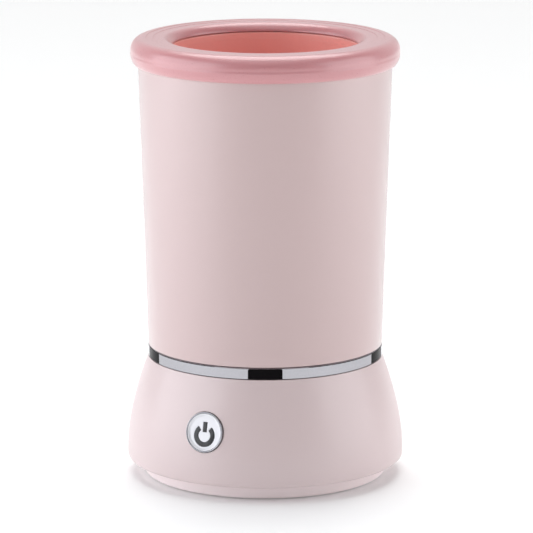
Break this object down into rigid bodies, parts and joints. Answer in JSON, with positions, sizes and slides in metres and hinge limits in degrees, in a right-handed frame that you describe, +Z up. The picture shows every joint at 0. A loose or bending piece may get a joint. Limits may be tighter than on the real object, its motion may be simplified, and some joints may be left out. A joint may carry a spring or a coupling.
{
  "type": "wax warmer pot",
  "caption": "Tall electric wax warmer: flared cup on a bell-shaped base, soft overhanging rim collar, lift-out coated pot, bright waist ring and push button.",
  "frame": {"origin": "centre of the base, on the surface it stands on", "axes": "+Z up along the cup's axis; the power button faces -Y and the mains inlet faces +Y"},
  "size_m": [0.13, 0.13, 0.2069],
  "materials": {
    "shell_plastic": "satin moulded ABS, pale pink",
    "collar_silicone": "soft silicone, rose pink, matte",
    "pot_coating": "aluminium with a salmon-red non-stick coating",
    "chrome": "bright plated",
    "black_plastic": "black, glossy",
    "button_silver": "silver painted, satin",
    "symbol_black": "dark grey inlay",
    "rubber": "black rubber",
    "steel": "zinc plated",
    "aluminium": "spun, bare",
    "brass": "bright",
    "insulation_felt": "glass fibre felt",
    "phenolic": "moulded phenolic, brown",
    "board_green": "glass-epoxy board, green",
    "component_blue": "moulded, blue",
    "lead_sleeve": "white silicone sleeve"
  },
  "bodies": {
    "root": {"base_plate": "shell_plastic", "base_screw_1": "steel", "base_screw_2": "steel", "base_screw_3": "steel", "base_screw_4": "steel", "base_shell": "shell_plastic", "board_screw_1": "steel", "board_screw_2": "steel", "board_screw_3": "steel", "board_screw_4": "steel", "bracket_screw_1": "steel", "bracket_screw_2": "steel", "button_bezel": "button_silver", "button_spring": "steel", "capacitor": "aluminium", "circuit_board": "board_green", "control_chip": "black_plastic", "heat_sleeve": "aluminium", "heater_band": "steel", "heater_lead_1": "lead_sleeve", "heater_lead_2": "lead_sleeve", "inlet_pin_1": "brass", "inlet_pin_2": "brass", "inlet_wire_1": "lead_sleeve", "inlet_wire_2": "lead_sleeve", "insulation_wrap": "insulation_felt", "mains_inlet": "black_plastic", "relay": "black_plastic", "rubber_foot_1": "rubber", "rubber_foot_2": "rubber", "rubber_foot_3": "rubber", "rubber_foot_4": "rubber", "sensor_lead": "lead_sleeve", "stand_ring": "phenolic", "stand_screw_1": "steel", "stand_screw_2": "steel", "stand_screw_3": "steel", "switch_body": "black_plastic", "switch_bracket": "steel", "switch_lead": "lead_sleeve", "terminal_block": "board_green", "thermal_fuse": "steel", "thermostat": "black_plastic", "thermostat_clip": "steel", "transformer": "component_blue", "trim_ring": "chrome", "upper_shell": "shell_plastic", "window_collar": "black_plastic"},
    "pot": {"wax_pot": "pot_coating"},
    "collar": {"rim_collar": "collar_silicone"},
    "button": {"power_button": "button_silver", "symbol_arc": "symbol_black", "symbol_bar": "symbol_black"},
    "plunger": {"switch_plunger": "brass"}
  },
  "joints": [
    {"name": "pot_lift", "type": "slide", "parent": "root", "child": "pot", "axis": [0, 0, 1], "range_m": [0, 0.11]},
    {"name": "collar_lift", "type": "slide", "parent": "pot", "child": "collar", "axis": [0, 0, 1], "range_m": [0, 0.03]},
    {"name": "button_press", "type": "slide", "parent": "root", "child": "button", "axis": [0, 0.9772, -0.2125], "range_m": [0, 0.0012], "stiffness_N_per_m": 800, "deforming": ["button_spring"]},
    {"name": "plunger_travel", "type": "slide", "parent": "root", "child": "plunger", "axis": [0, 0.9772, -0.2125], "range_m": [0, 0.0012]}
  ],
  "couplings": [
    {"joint": "plunger_travel", "follows": "button_press", "ratio": 1}
  ]
}
